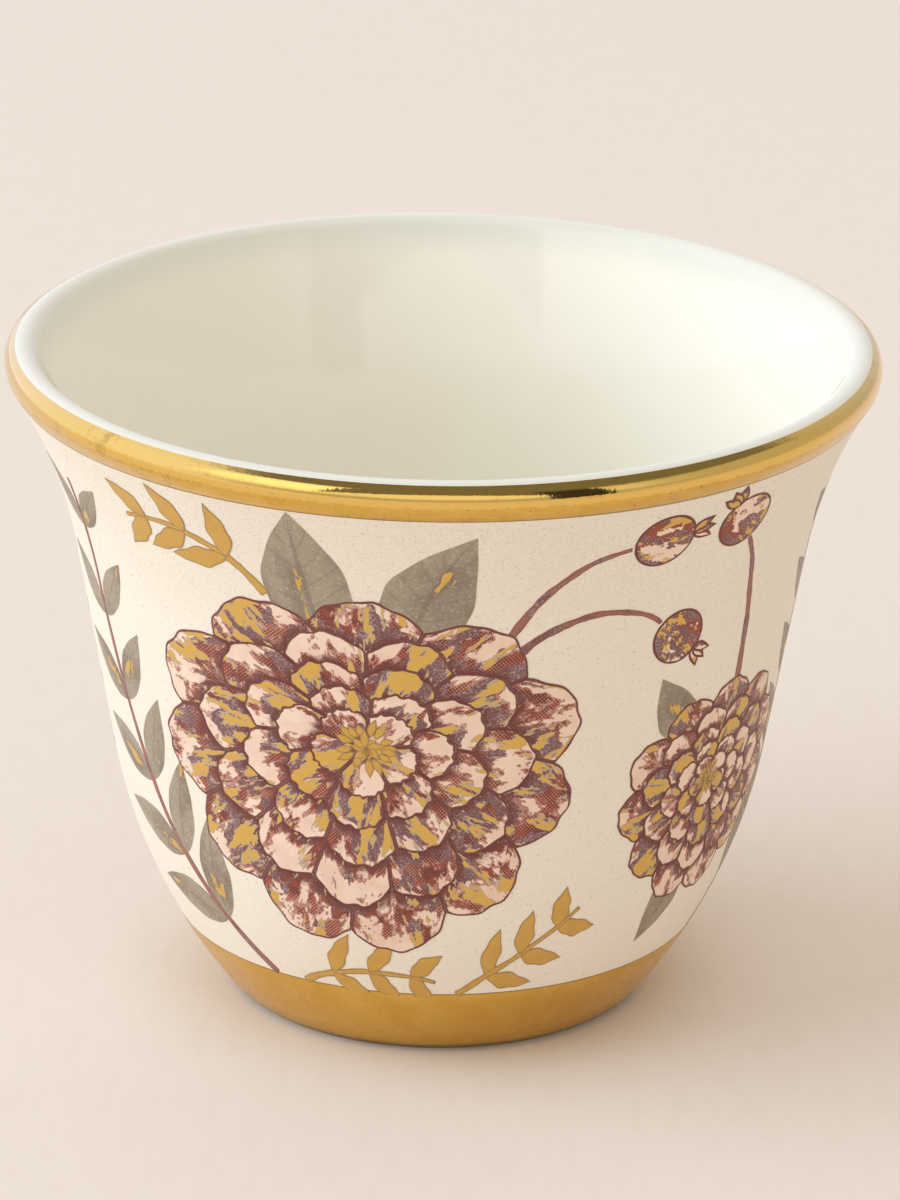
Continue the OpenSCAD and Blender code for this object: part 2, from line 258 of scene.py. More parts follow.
def film(name, patches, layer, node, material):
    """Printed colour on the wall: closed films, one for each patch and each repeat of the pattern."""
    places, faces, flat, grain, petal = [], [], [], [], []
    start = 0
    for repeat in (0, 1):
        for i, p in enumerate(patches):
            rows, columns = p.x.shape
            lift = FILM_T + layer * LAYER_STEP + (i % 4) * NEIGHBOUR_STEP
            for level in (lift, 0.0):
                places.append(on_wall(p.x + repeat * REPEAT_W, p.z, level).reshape(-1, 3))
                flat.append(np.stack([p.x, p.z, np.full(p.x.shape, p.seed)], -1).reshape(-1, 3))
                grain.append(p.grain.reshape(-1, 3))
                petal.append(p.petal.reshape(-1, 3))
            grid = np.arange(rows * columns).reshape(rows, columns) + start
            quads = np.stack([grid[:-1, :-1], grid[1:, :-1], grid[1:, 1:], grid[:-1, 1:]], -1)
            quads = quads.reshape(-1, 4)
            under = rows * columns
            loop = np.r_[grid[0, :-1], grid[:-1, -1], grid[-1, :0:-1], grid[:0:-1, 0]]
            onward = np.roll(loop, -1)
            sides = np.stack([loop, onward, onward + under, loop + under], -1)
            faces += [quads, quads[:, ::-1] + under, sides]
            start += 2 * under
    mesh = bpy.data.meshes.new(name)
    mesh.from_pydata((np.vstack(places) * MM).tolist(), [], np.vstack(faces).tolist())
    for label, values in (("flat", flat), ("grain", grain), ("petal", petal)):
        attribute = mesh.attributes.new(label, "FLOAT_VECTOR", "POINT")
        attribute.data.foreach_set("vector", np.vstack(values).astype(np.float32).ravel())
    shade(mesh)
    piece(name, mesh, node, material)


def bend(curve, t):
    """Points on a curve that four places steer."""
    t = np.asarray(t, float)[..., None]
    c = [spot(s) for s in curve]
    return ((1 - t) ** 3 * c[0] + 3 * t * (1 - t) ** 2 * c[1]
            + 3 * t * t * (1 - t) * c[2] + t ** 3 * c[3])


def bend_angle(curve, t, reach=0.01):
    step = bend(curve, np.asarray(t) + reach) - bend(curve, np.asarray(t) - reach)
    return np.arctan2(step[..., 1], step[..., 0])


def beside(curve, t, off):
    """Points at a distance to the left of a curve."""
    a = bend_angle(curve, t)
    return bend(curve, t) + np.asarray(off)[..., None] * np.stack([-np.sin(a), np.cos(a)], -1)


def tapered(size, tip_share, t):
    """A size that shrinks to a share of itself at the end of a stem."""
    return size * (1 - (1 - tip_share) * t)


def heading(angle):
    return np.array([math.cos(angle), math.sin(angle)])


def turned_patch(foot, angle, u, v, seed):
    """A patch drawn from its foot, with u in the direction it points in and v to the left of that."""
    x = foot[0] + u * math.cos(angle) - v * math.sin(angle)
    z = foot[1] + u * math.sin(angle) + v * math.cos(angle)
    return Patch(x, z, seed)


def stem_patch(curve, width, seed, rows=60, columns=5):
    """A stem that wanders a little off its curve, swells and thins, and ends at half its width."""
    t = np.linspace(0, 1, rows)
    wander = 0.03 * np.sin(t * 17 + seed * 9)
    half = width * (1 - t / 2) / 2 * (1 + 0.10 * np.sin(t * 29 + seed * 3) + 0.05 * np.sin(t * 71 + seed))
    lines = [beside(curve, t, wander + s * half) for s in np.linspace(-1, 1, columns)]
    grid = np.stack(lines, 1)
    return Patch(grid[..., 0], grid[..., 1], seed)


def leaf_patch(foot, angle, length, width, bow, seed, rows=34, columns=13, jag=0.0):
    """A pointed leaf from its foot, widest below its middle, with a slightly uneven edge."""
    t = np.linspace(0.004, 0.996, rows)
    s = np.linspace(-1, 1, columns)
    half = width / 2 * np.sin(math.pi * t ** 0.8)
    left = half * (1 + jag * np.sin(t * 14 + seed * 7) + 0.02 * np.sin(t * 23 + seed * 4))
    right = half * (1 + jag * np.sin(t * 15 + seed * 11) + 0.02 * np.sin(t * 19 + seed * 8))
    side = np.where(s[None, :] > 0, left[:, None], right[:, None]) * s[None, :]
    u = np.repeat(t[:, None] * length, columns, 1)
    v = side + bow * length * (t * (1 - t))[:, None]
    return turned_patch(foot, angle, u, v, seed)


# Curves of the stems and places of the flowers, the same as in the CAD model
FROND_SHARES = [
    [[-0.200, 0.00], [-0.310, 0.20], [-0.385, 0.50], [-0.370, 0.90]],
    [[0.400, 0.00], [0.455, 0.20], [0.485, 0.50], [0.455, 0.86]]]
HIP_SHARES = [
    [[0.060, 0.70], [0.100, 0.80], [0.160, 0.80], [0.195, 0.74]],
    [[0.050, 0.72], [0.080, 0.84], [0.110, 0.90], [0.150, 0.91]],
    [[0.310, 0.56], [0.310, 0.70], [0.300, 0.80], [0.275, 0.87]]]
SPRIG_SHARES = [
    [[-0.145, 0.81], [-0.175, 0.90], [-0.225, 0.93], [-0.275, 0.90]],
    [[0.025, 0.00], [0.060, 0.05], [0.105, 0.10], [0.150, 0.18]],
    [[-0.160, 0.00], [-0.115, 0.05], [-0.060, 0.06], [0.000, 0.03]]]

# Each dahlia: its centre, its width, how far its heart is shifted, and the angles of the leaves behind it
DAHLIAS = [((-0.075, 0.47), 35.0, (0.06, 0.16), (68, 98)),
           ((0.300, 0.36), 21.0, (-0.08, 0.10), (125, 250))]
SLANT_SHARE = 0.9

# Each ring of petals: how many, how far out they reach, how deep they part, and the turn in degrees
RING_SHARES = [(11, 1.00, 0.13, 4), (11, 0.77, 0.11, 20), (9, 0.57, 0.09, 8),
               (7, 0.40, 0.07, 30), (5, 0.25, 0.05, 12)]
SWELL_SHARE = 0.035
HEART_SHARE = 0.12

# Stems, leaves and hips in millimetres and in shares
STEM_W = 0.7
LEAF_TURN = math.radians(42)
SPRIG_LEAF_TURN = math.radians(46)
BACK_LEAF_START_SHARE = 0.6
BACK_LEAF_L_SHARE = 0.72
BACK_LEAF_W_SHARE = 0.36
LEAF_L = 10.0
LEAF_W = 3.7
LEAF_PAIRS = 6
LEAF_TIP_SHARE = 0.58
LEAF_REACH_SHARE = 0.92
HIP_D = 4.6
SPRIG_LEAF_L = 5.4
SPRIG_LEAF_W = 1.7
SPRIG_PAIRS = 3
SPRIG_TIP_SHARE = 0.65
SPRIG_REACH_SHARE = 0.84
PRINT_GAP = 0.3

# What only the drawing has: stamens in the hearts, and calyx tips on the hips
STAMENS = 24
OUTER_STAMENS = 15
GOLDEN_ANGLE = 2.39996
STAMEN_REACH_SHARE = 0.15
STAMEN_START_SHARE = 0.42
STAMEN_L_SHARE = 0.52
STAMEN_W_SHARE = 0.27
CALYX_START_SHARE = 0.94
CALYX_L_SHARE = 0.42
CALYX_W_SHARE = 0.2


def ring_edge(flower, k, degrees, gap=0.0, ruffle=0.0):
    """Edge of ring k of a dahlia at some angles; the ring after the last is the heart."""
    centre, diameter, shift, _ = flower
    r = diameter / 2
    count, reach, depth, turn = RING_SHARES[k] if k < len(RING_SHARES) else (5, HEART_SHARE, 0, 0)
    a = np.radians(degrees)
    petals = (degrees - turn) * count / 360
    t = 2 * (petals - np.floor(petals)) - 1
    edge = reach * (1 + SWELL_SHARE * np.sin(3 * a)) - depth * t ** 2
    edge = edge + ruffle * (0.6 * np.sin(31 * a + 5 * k) + 0.4 * np.sin(53 * a + 3 * k))
    out = (r * edge + gap)[:, None] * np.stack([np.cos(a), SLANT_SHARE * np.sin(a)], 1)
    return spot(centre) + r * (1 - reach) * np.array(shift) + out


def heart_middle(flower):
    """The middle of a dahlia's heart, which sits off the middle of the flower."""
    return spot(flower[0]) + flower[1] / 2 * (1 - HEART_SHARE) * np.array(flower[2])


def petal_patch(flower, k, i, rows=17, columns=31, slit=0.02, ruffle=0.010):
    """Petal i of ring k, from the next ring's edge out to its own; the innermost reach into the heart."""
    count, reach, _, turn = RING_SHARES[k]
    span = 360 / count
    play = math.degrees(slit / (reach * flower[1] / 2))
    degrees = np.linspace(turn + i * span + play, turn + (i + 1) * span - play, columns)
    outer = ring_edge(flower, k, degrees, 0.0, ruffle)
    inner = ring_edge(flower, k + 1, degrees, 0.03, ruffle)
    if k == len(RING_SHARES) - 1:
        middle = heart_middle(flower)
        inner = middle + 0.15 * (inner - middle)
    v = np.linspace(0, 1, rows)[:, None, None]
    grid = inner + (outer - inner) * v
    return Patch(grid[..., 0], grid[..., 1], (i * 0.618 + k * 0.377) % 1 + i, open_foot=True)


def dahlia_patches(rings):
    return [petal_patch(flower, k, i) for flower in DAHLIAS for k in rings
            for i in range(RING_SHARES[k][0])]


def heart_patches():
    """Gold stamens that crowd the heart of each dahlia, an outer ring round a tuft in the middle."""
    patches = []
    for flower in DAHLIAS:
        middle, r = heart_middle(flower), flower[1] / 2 * STAMEN_REACH_SHARE
        for i in range(STAMENS):
            a = i * GOLDEN_ANGLE
            start = STAMEN_START_SHARE if i < OUTER_STAMENS else 0.0
            foot = middle + start * r * np.array([1, SLANT_SHARE]) * heading(a)
            length = r * (STAMEN_L_SHARE + 0.12 * math.sin(7 * i))
            patches.append(leaf_patch(foot, a, length, r * STAMEN_W_SHARE, bow=0.15, seed=i,
                                      rows=14, columns=7))
    return patches


def hip_patches(rows=26, columns=19):
    """Round hips at the ends of their stems, each with three calyx tips."""
    patches = []
    for n, curve in enumerate(HIP_SHARES):
        a = float(bend_angle(curve, 1.0))
        foot = bend(curve, 1.0) + PRINT_GAP * 0.5 * heading(a)
        t = np.linspace(0.01, 0.99, rows)
        s = np.linspace(-1, 1, columns)
        half = HIP_D / 2 * np.sqrt(1 - (2 * t - 1) ** 2)
        u = np.repeat(t[:, None] * HIP_D, columns, 1)
        patches.append(turned_patch(foot, a, u, half[:, None] * s[None, :], n + 0.3))
        for turn in (-0.5, 0, 0.5):
            patches.append(leaf_patch(foot + heading(a) * HIP_D * CALYX_START_SHARE, a + turn,
                                      HIP_D * CALYX_L_SHARE, HIP_D * CALYX_W_SHARE, bow=0.1,
                                      seed=n + turn, rows=12, columns=7))
    return patches


def leaf_patches():
    """Broad leaves that show from behind the dahlias, and pairs of narrow ones up the fronds."""
    patches = []
    for f, flower in enumerate(DAHLIAS):
        r = flower[1] / 2
        for degrees in flower[3]:
            a = math.radians(degrees)
            foot = spot(flower[0]) + r * BACK_LEAF_START_SHARE * heading(a)
            patches.append(leaf_patch(foot, a, r * BACK_LEAF_L_SHARE, r * BACK_LEAF_W_SHARE, bow=0.2,
                                      seed=degrees * 0.1 + f, rows=60, columns=21))
    for curve in FROND_SHARES:
        for i in range(1, LEAF_PAIRS + 1):
            for side in (-1, 1):
                t = LEAF_REACH_SHARE * i / LEAF_PAIRS
                foot = beside(curve, t, side * STEM_W * 0.4)
                a = float(bend_angle(curve, t)) + side * LEAF_TURN
                patches.append(leaf_patch(foot, a, tapered(LEAF_L, LEAF_TIP_SHARE, t),
                                          tapered(LEAF_W, LEAF_TIP_SHARE, t), bow=-side * 0.12,
                                          seed=i + side * 0.3))
    return patches


def stem_patches():
    return [stem_patch(c, STEM_W, i) for i, c in enumerate(FROND_SHARES + HIP_SHARES)]


def sprig_patches():
    """Gold stems with three pairs of leaves."""
    patches = []
    for n, curve in enumerate(SPRIG_SHARES):
        patches.append(stem_patch(curve, STEM_W, n))
        for i in range(1, SPRIG_PAIRS + 1):
            for side in (-1, 1):
                t = SPRIG_REACH_SHARE * i / SPRIG_PAIRS
                a = float(bend_angle(curve, t)) + side * SPRIG_LEAF_TURN
                patches.append(leaf_patch(bend(curve, t), a, tapered(SPRIG_LEAF_L, SPRIG_TIP_SHARE, t),
                                          SPRIG_LEAF_W, bow=side * 0.1, seed=n + i * 0.2 + side,
                                          jag=0.1))
    return patches


def srgb(r, g, b):
    """A colour given in the usual 0 to 255 steps, as the shader needs it."""
    return tuple((c / 255 / 12.92) if c <= 10 else ((c / 255 + 0.055) / 1.055) ** 2.4
                 for c in (r, g, b)) + (1.0,)


class Nodes:
    """Adds nodes to one shader tree. An input may be a number, a colour or another node's output."""

    def __init__(self, tree):
        self.tree = tree

    def join(self, socket, value):
        if isinstance(value, bpy.types.NodeSocket):
            self.tree.links.new(value, socket)
        else:
            socket.default_value = value

    def add(self, kind, inputs=None, **settings):
        node = self.tree.nodes.new(kind)
        for key, value in settings.items():
            setattr(node, key, value)
        for key, value in (inputs or {}).items():
            self.join(node.inputs[key], value)
        return node

    def math(self, operation, a, b=0.0):
        return self.add("ShaderNodeMath", {0: a, 1: b}, operation=operation).outputs[0]

    def plus(self, a, b):
        return self.math("ADD", a, b)

    def minus(self, a, b):
        return self.math("SUBTRACT", a, b)

    def times(self, value, *others):
        for other in others:
            value = self.math("MULTIPLY", value, other)
        return value

    def scaled(self, vector, scale):
        return self.add("ShaderNodeVectorMath", {0: vector, "Scale": scale}, operation="SCALE").outputs[0]

    def stretched(self, vector, x, y):
        return self.add("ShaderNodeVectorMath", {0: vector, 1: (x, y, 1.0)}, operation="MULTIPLY").outputs[0]

    def mix(self, mask, a, b):
        node = self.add("ShaderNodeMix", data_type="RGBA")
        for index, value in ((0, mask), (6, a), (7, b)):
            self.join(node.inputs[index], value)
        return node.outputs[2]

    def between(self, value, low, high, to_low=0.0, to_high=1.0):
        """A smooth change from one result to another while a value goes from low to high."""
        inputs = {0: value, 1: low, 2: high, 3: to_low, 4: to_high}
        return self.add("ShaderNodeMapRange", inputs, interpolation_type="SMOOTHSTEP").outputs[0]

    def above(self, value, level, blur):
        """A mask of the places where a value is above a level, with a blurred edge."""
        return self.between(self.minus(value, level), -blur, blur)

    def noise(self, vector, scale, detail=2.0, roughness=0.5):
        inputs = {"Vector": vector, "Scale": scale, "Detail": detail, "Roughness": roughness}
        return self.add("ShaderNodeTexNoise", inputs).outputs["Fac"]

    def attribute(self, name):
        return self.add("ShaderNodeAttribute", attribute_name=name).outputs["Vector"]

    def split(self, vector):
        return self.add("ShaderNodeSeparateXYZ", {0: vector}).outputs

    def group(self, tree, **inputs):
        node = self.add("ShaderNodeGroup", node_tree=tree)
        for key, value in inputs.items():
            self.join(node.inputs[key.replace("_", " ")], value)
        return node.outputs[0] if len(node.outputs) == 1 else tuple(node.outputs)


def effect(name, inputs, outputs, build):
    """A shader node group with named inputs and outputs."""
    tree = bpy.data.node_groups.new(name, "ShaderNodeTree")
    for label, kind, value in inputs:
        socket = tree.interface.new_socket(label, in_out="INPUT", socket_type=kind)
        if value is not None:
            socket.default_value = value
    for label, kind in outputs:
        tree.interface.new_socket(label, in_out="OUTPUT", socket_type=kind)
    n = Nodes(tree)
    source, sink = n.add("NodeGroupInput"), n.add("NodeGroupOutput")
    built = build(n, source.outputs)
    for socket, value in zip(sink.inputs, built if isinstance(built, tuple) else (built,)):
        n.join(socket, value)
    return tree


FLOAT, VECTOR, COLOUR = "NodeSocketFloat", "NodeSocketVector", "NodeSocketColor"

# The printer's screen, the drawn lines in millimetres, and how much of a ragged edge is fine fringe
SCREEN_PITCH = 0.31
SCREEN_TURN = math.radians(4)
INK_LINE_W = 0.17
GOLD_LINE_W = 0.09
FRINGE_SHARE = 0.14


def build_screen(n, given):
    """Rows of printer's dots that merge as the cover grows."""
    turned = n.add("ShaderNodeVectorRotate", {"Vector": given["Flat"], "Angle": SCREEN_TURN},
                   rotation_type="Z_AXIS").outputs[0]
    x, z, _ = n.split(n.scaled(turned, n.math("DIVIDE", math.tau, given["Pitch"])))
    level = n.plus(n.times(n.math("SINE", x), n.math("SINE", z), 0.5), 0.5)
    return n.above(given["Cover"], level, blur=0.12)


def build_ragged(n, given):
    """Ragged streaky islands, as hand painted touches leave."""
    islands = n.noise(given["Grain"], 1.0, 3.0, 0.62)
    fringe = n.noise(given["Grain"], 5.5, 2.0, 0.6)
    value = n.plus(n.times(islands, 1 - FRINGE_SHARE), n.times(fringe, FRINGE_SHARE))
    return n.above(value, given["Level"], blur=0.006)


def build_speckle(n, given):
    """Fine specks, some stronger than others."""
    cells = n.add("ShaderNodeTexVoronoi", {"Vector": given["Place"], "Scale": given["Scale"]})
    size = n.split(cells.outputs["Color"])[0]
    reach = n.times(n.math("POWER", size, 3.0), given["Amount"])
    return n.above(reach, cells.outputs["Distance"], blur=0.08)


def build_outline(n, given):
    """A drawn line along a printed edge, that swells and thins."""
    wobble = n.times(n.minus(n.noise(given["Flat"], 0.9, 3.0, 0.7), 0.5), 1.3)
    width = n.times(given["Width"], n.plus(1.0, wobble))
    return n.above(width, given["Edge"], blur=0.03)


MASK = [("Mask", FLOAT)]
SCREEN = effect("Halftone Screen", [("Flat", VECTOR, None), ("Pitch", FLOAT, 0.3), ("Cover", FLOAT, 0.5)],
                MASK, build_screen)
RAGGED = effect("Ragged Touches", [("Grain", VECTOR, None), ("Level", FLOAT, 0.5)], MASK, build_ragged)
SPECKLE = effect("Fired Speckle", [("Place", VECTOR, None), ("Scale", FLOAT, 4.0), ("Amount", FLOAT, 0.4)],
                 MASK, build_speckle)
OUTLINE = effect("Drawn Outline", [("Flat", VECTOR, None), ("Edge", FLOAT, 1.0), ("Width", FLOAT, 0.15)],
                 MASK, build_outline)


def finish_of(name, colour, roughness, metallic=0.0, height=None, relief=0.02):
    """A finish. Each input is a value, or a function that builds it from nodes. Relief is in millimetres."""
    material = bpy.data.materials.new(name)
    material.use_nodes = True
    tree = material.node_tree
    tree.nodes.clear()
    n = Nodes(tree)
    shader = n.add("ShaderNodeBsdfPrincipled")
    for label, make in (("Base Color", colour), ("Roughness", roughness), ("Metallic", metallic)):
        n.join(shader.inputs[label], make(n) if callable(make) else make)
    if height:
        bump = n.add("ShaderNodeBump", {"Height": height(n), "Distance": relief * MM})
        n.join(shader.inputs["Normal"], bump.outputs[0])
    out = n.add("ShaderNodeOutputMaterial")
    n.join(out.inputs[0], shader.outputs[0])
    return material


def millimetres(n):
    """The place on the cup, in millimetres."""
    return n.scaled(n.add("ShaderNodeTexCoord").outputs["Object"], 1 / MM)


# Colours of the porcelain, its glaze and its ground, then of the gold, the print and the table's paper
PORCELAIN = srgb(236, 230, 218)
PORCELAIN_GREY = srgb(214, 206, 190)
WHITE_GLAZE = srgb(247, 246, 236)
GLAZE_CLOUD = srgb(244, 242, 231)
GLAZE_EDGE = srgb(226, 229, 221)
IVORY = srgb(246, 239, 225)
IVORY_CLOUD = srgb(245, 235, 218)
IVORY_SPECK = srgb(150, 134, 112)
GOLD = srgb(237, 198, 110)
# Painted sheen: the pale gold that the rim band turns where it faces away from the view
GOLD_PAINTED_SHEEN = srgb(244, 226, 196)
GOLD_DEEP = srgb(214, 165, 60)
GOLD_WORN = srgb(150, 112, 50)
GOLD_LINE = srgb(120, 98, 74)
# Painted contact shadow at the bottom of the foot band
GOLD_CONTACT_SHADOW = srgb(84, 58, 26)
PRINT_GOLD = srgb(222, 180, 92)
PRINT_GOLD_DEEP = srgb(204, 158, 76)
PRINT_GOLD_LINE = srgb(140, 110, 78)
PINK = srgb(246, 220, 200)
PINK_WARM = srgb(238, 206, 186)
MAUVE = srgb(206, 160, 144)
MAUVE_DARK = srgb(162, 104, 94)
CELL = srgb(206, 150, 126)
BURGUNDY = srgb(150, 68, 52)
MAROON = srgb(112, 52, 46)
PLUM = srgb(120, 76, 74)
LILAC = srgb(172, 149, 151)
LINE_PLUM = srgb(122, 70, 66)
EDGE_GREY = srgb(188, 172, 160)
TAUPE = srgb(168, 154, 134)
TAUPE_DARK = srgb(124, 108, 92)
PAPER_NEAR = srgb(239, 231, 224)
PAPER_FAR = srgb(236, 228, 222)
PAPER_FIBRE = srgb(226, 214, 202)

# The gold bands in millimetres: how far burnished gold comes down from the top of the lip, where the
# dark line begins and ends inside a band's edge, and how wide a band thins out
BURNISHED_H = 1.7
LINE_START = 0.16
LINE_END = 0.04
GOLD_FEATHER = 0.5

# The print is satin, and its gold touches are smoother and half metallic
PRINT_ROUGHNESS = 0.44
TOUCH_SMOOTHER = 0.1
TOUCH_METALLIC = 0.45


def unglazed_porcelain():
    """The dull ring that the cup stands on."""
    def colour(n):
        return n.mix(n.noise(millimetres(n), 3.0, 4.0, 0.7), PORCELAIN_GREY, PORCELAIN)

    def grain(n):
        return n.noise(millimetres(n), 9.0, 3.0)
    return finish_of("unglazed_porcelain", colour, 0.75, height=grain, relief=0.03)


def white_glaze():
    """Clear glaze on white porcelain, a little cooler towards the lip."""
    def colour(n):
        mm = millimetres(n)
        near_lip = n.between(n.split(mm)[2], CUP_H - 3.0, CUP_H - 0.4)
        clouds = n.mix(n.noise(mm, 0.12, 2.0), GLAZE_CLOUD, WHITE_GLAZE)
        return n.mix(n.times(near_lip, 0.7), clouds, GLAZE_EDGE)

    def swell(n):
        return n.noise(millimetres(n), 0.25, 1.0)
    return finish_of("white_glaze", colour, 0.07, height=swell, relief=0.03)


def ivory_ground():
    """Satin ivory with fine dust and specks, more of them towards the lip."""
    def colour(n):
        mm = millimetres(n)
        clouds = n.mix(n.noise(mm, 0.1, 3.0), IVORY_CLOUD, IVORY)
        faint = n.group(SPECKLE, Place=mm, Scale=6.5, Amount=0.42)
        strong = n.group(SPECKLE, Place=mm, Scale=2.6, Amount=0.20)
        grit = n.between(n.noise(mm, 6.0, 2.0, 0.75), 0.50, 0.72)
        near_rim = n.between(n.split(mm)[2], 30.0, 49.0, 0.10, 0.30)
        dusted = n.mix(n.times(grit, near_rim), clouds, IVORY_SPECK)
        dusted = n.mix(n.times(faint, 0.24), dusted, IVORY_SPECK)
        return n.mix(n.times(strong, 0.45), dusted, IVORY_SPECK)

    def grain(n):
        return n.noise(millimetres(n), 4.0, 3.0)
    return finish_of("ivory_ground", colour, 0.46, height=grain, relief=0.012)


def build_pitted_gold(n, given):
    """Satin gold in two tones, with small dark pits."""
    satin = n.mix(n.noise(given["Place"], given["Tone Scale"], 4.0, 0.6), GOLD_DEEP, GOLD)
    pits = n.group(SPECKLE, Place=given["Place"], Scale=given["Pit Scale"], Amount=given["Pit Amount"])
    return n.mix(n.times(pits, given["Pit Depth"]), satin, GOLD_LINE)


def build_band_line(n, given):
    """The dark line with which a gold band ends."""
    line = n.between(given["Height"], given["Start"], given["End"])
    return n.mix(n.times(line, 0.7), given["Gold"], GOLD_LINE)


PITTED_GOLD = effect(
    "Pitted Gold", [("Place", VECTOR, None), ("Tone Scale", FLOAT, 0.6), ("Pit Scale", FLOAT, 2.4),
                    ("Pit Amount", FLOAT, 0.24), ("Pit Depth", FLOAT, 0.45)],
    [("Colour", COLOUR)], build_pitted_gold)
BAND_LINE = effect(
    "Band Line", [("Gold", COLOUR, None), ("Height", FLOAT, 0.0), ("Start", FLOAT, 0.0), ("End", FLOAT, 1.0)],
    [("Colour", COLOUR)], build_band_line)


def rim_gold():
    """Burnished over the lip's glaze, satin and pitted below it, with a dark line where it ends, and a
    painted pale sheen where it turns away from the view.
    """
    def burnished(n):
        mm = millimetres(n)
        ragged = n.times(n.minus(n.noise(mm, 1.1, 5.0, 0.75), 0.5), 0.9)
        return n.above(n.plus(n.split(mm)[2], ragged), CUP_H - BURNISHED_H, blur=0.05)

    def colour(n):
        mm = millimetres(n)
        pitted = n.group(PITTED_GOLD, Place=mm, Tone_Scale=0.9, Pit_Scale=2.6, Pit_Amount=0.34, Pit_Depth=0.5)
        worn = n.between(n.noise(mm, 0.33, 5.0, 0.72), 0.55, 0.70)
        gold = n.mix(n.times(worn, 0.4), n.mix(burnished(n), pitted, GOLD), GOLD_WORN)
        # Painted sheen: the gold is mixed paler towards grazing angles, as a highlight
        facing = n.add("ShaderNodeLayerWeight", {"Blend": 0.5}).outputs["Facing"]
        gold = n.mix(n.between(facing, 0.36, 0.90, 0.0, 0.55), gold, GOLD_PAINTED_SHEEN)
        return n.group(BAND_LINE, Gold=gold, Height=n.split(mm)[2], Start=CUP_H - RIM_BAND_H + LINE_START,
                       End=CUP_H - RIM_BAND_H + LINE_END)

    def roughness(n):
        satin = n.between(n.noise(millimetres(n), 0.5, 3.0), 0.3, 0.7, 0.26, 0.38)
        return n.minus(satin, n.times(burnished(n), n.minus(satin, 0.07)))

    def grain(n):
        return n.noise(millimetres(n), 2.0, 3.0)
    return finish_of("rim_gold", colour, roughness, 1.0, grain, 0.01)


def foot_gold():
    """Satin gold, with painted contact shadow darkening its very foot, and a dark line where it ends at the
    top.
    """
    def colour(n):
        mm = millimetres(n)
        z = n.split(mm)[2]
        gold = n.group(PITTED_GOLD, Place=mm, Tone_Scale=0.35, Pit_Scale=2.4, Pit_Amount=0.16, Pit_Depth=0.35)
        # Painted contact shadow: darker towards the bottom of the band, where the cup stands on the table
        gold = n.mix(n.between(z, 0.85, 0.10, 0.0, 0.8), gold, GOLD_CONTACT_SHADOW)
        return n.group(BAND_LINE, Gold=gold, Height=z, Start=FOOT_BAND_H - LINE_START,
                       End=FOOT_BAND_H - LINE_END)

    def roughness(n):
        return n.between(n.noise(millimetres(n), 0.4, 3.0), 0.3, 0.7, 0.19, 0.32)

    def grain(n):
        return n.noise(millimetres(n), 2.5, 3.0)
    return finish_of("foot_gold", colour, roughness, 1.0, grain, 0.005)


def screened(n, flat, cover, ink):
    """Ink with small light cells, as the printer's screen leaves."""
    return n.mix(n.group(SCREEN, Flat=flat, Pitch=SCREEN_PITCH, Cover=cover), CELL, ink)


def outlined(n, flat, edge, tone, ink, gold):
    """Draws the outline over a tone, and takes the gold off where the line runs."""
    line = n.group(OUTLINE, Flat=flat, Edge=edge, Width=INK_LINE_W)
    return n.mix(line, tone, ink), n.times(gold, n.minus(1.0, line))


def build_plum(n, given):
    """Plum ink with mauve grains in it, in clouds."""
    grit = n.between(n.noise(given["Flat"], 6.5, 2.0, 0.7), 0.46, 0.60)
    cloud = n.between(n.noise(given["Flat"], 0.45, 2.0), 0.36, 0.62, 0.35, 0.95)
    return n.mix(n.times(grit, cloud), PLUM, LILAC)


def build_petal(n, given):
    """A printed petal: pink, screened burgundy, plum, gold touches and an outline."""
    flat, grain = given["Flat"], given["Grain"]
    _, lengthwise, edge = n.split(given["Petal"])
    own = n.times(n.math("SINE", n.times(n.split(grain)[2], 0.73)), 0.035)
    rise = n.plus(n.times(lengthwise, 0.17), n.minus(own, given["Dark"]))
    worn = n.stretched(grain, 0.62, 0.30)
    tint = n.between(n.noise(flat, 0.5, 2.0), 0.35, 0.7)
    base = n.mix(tint, PINK, PINK_WARM)
    mauve = n.group(RAGGED, Grain=worn, Level=n.plus(rise, 0.425))
    grit = n.between(n.noise(flat, 6.0, 2.0, 0.7), 0.40, 0.62)
    tone = n.mix(mauve, base, n.mix(grit, MAUVE, MAUVE_DARK))
    inked = n.group(RAGGED, Grain=worn, Level=n.plus(rise, 0.465))
    cover = n.between(n.noise(flat, 0.35, 2.0), 0.3, 0.7, 0.56, 0.98)
    ink = n.mix(n.between(n.noise(flat, 1.1, 3.0, 0.6), 0.40, 0.62), MAROON, BURGUNDY)
    tone = n.mix(inked, tone, screened(n, flat, cover, ink))
    plum_rise = n.plus(n.times(lengthwise, 0.19), n.plus(own, 0.445))
    plum_area = n.group(RAGGED, Grain=n.stretched(grain, 0.36, 0.20), Level=plum_rise)
    tone = n.mix(plum_area, tone, n.group(GRAINY_PLUM, Flat=flat))
    foot = n.plus(lengthwise, n.times(n.minus(grit, 0.5), 0.10))
    tone = n.mix(n.between(foot, 0.26, 0.02, 0.0, 0.9), tone, MAROON)
    zones = n.between(n.noise(n.stretched(grain, 0.22, 0.12), 1.0, 1.0), 0.40, 0.60, 0.05, -0.05)
    level = n.plus(zones, given["Gold Level"])
    touches = n.stretched(grain, 1.0, 0.30)
    wide_gold = n.group(RAGGED, Grain=touches, Level=n.minus(level, 0.020))
    gold = n.group(RAGGED, Grain=touches, Level=level)
    tone = n.mix(wide_gold, tone, EDGE_GREY)
    tone = n.mix(gold, tone, PRINT_GOLD)
    return outlined(n, flat, edge, tone, n.mix(tint, LINE_PLUM, MAROON), gold)


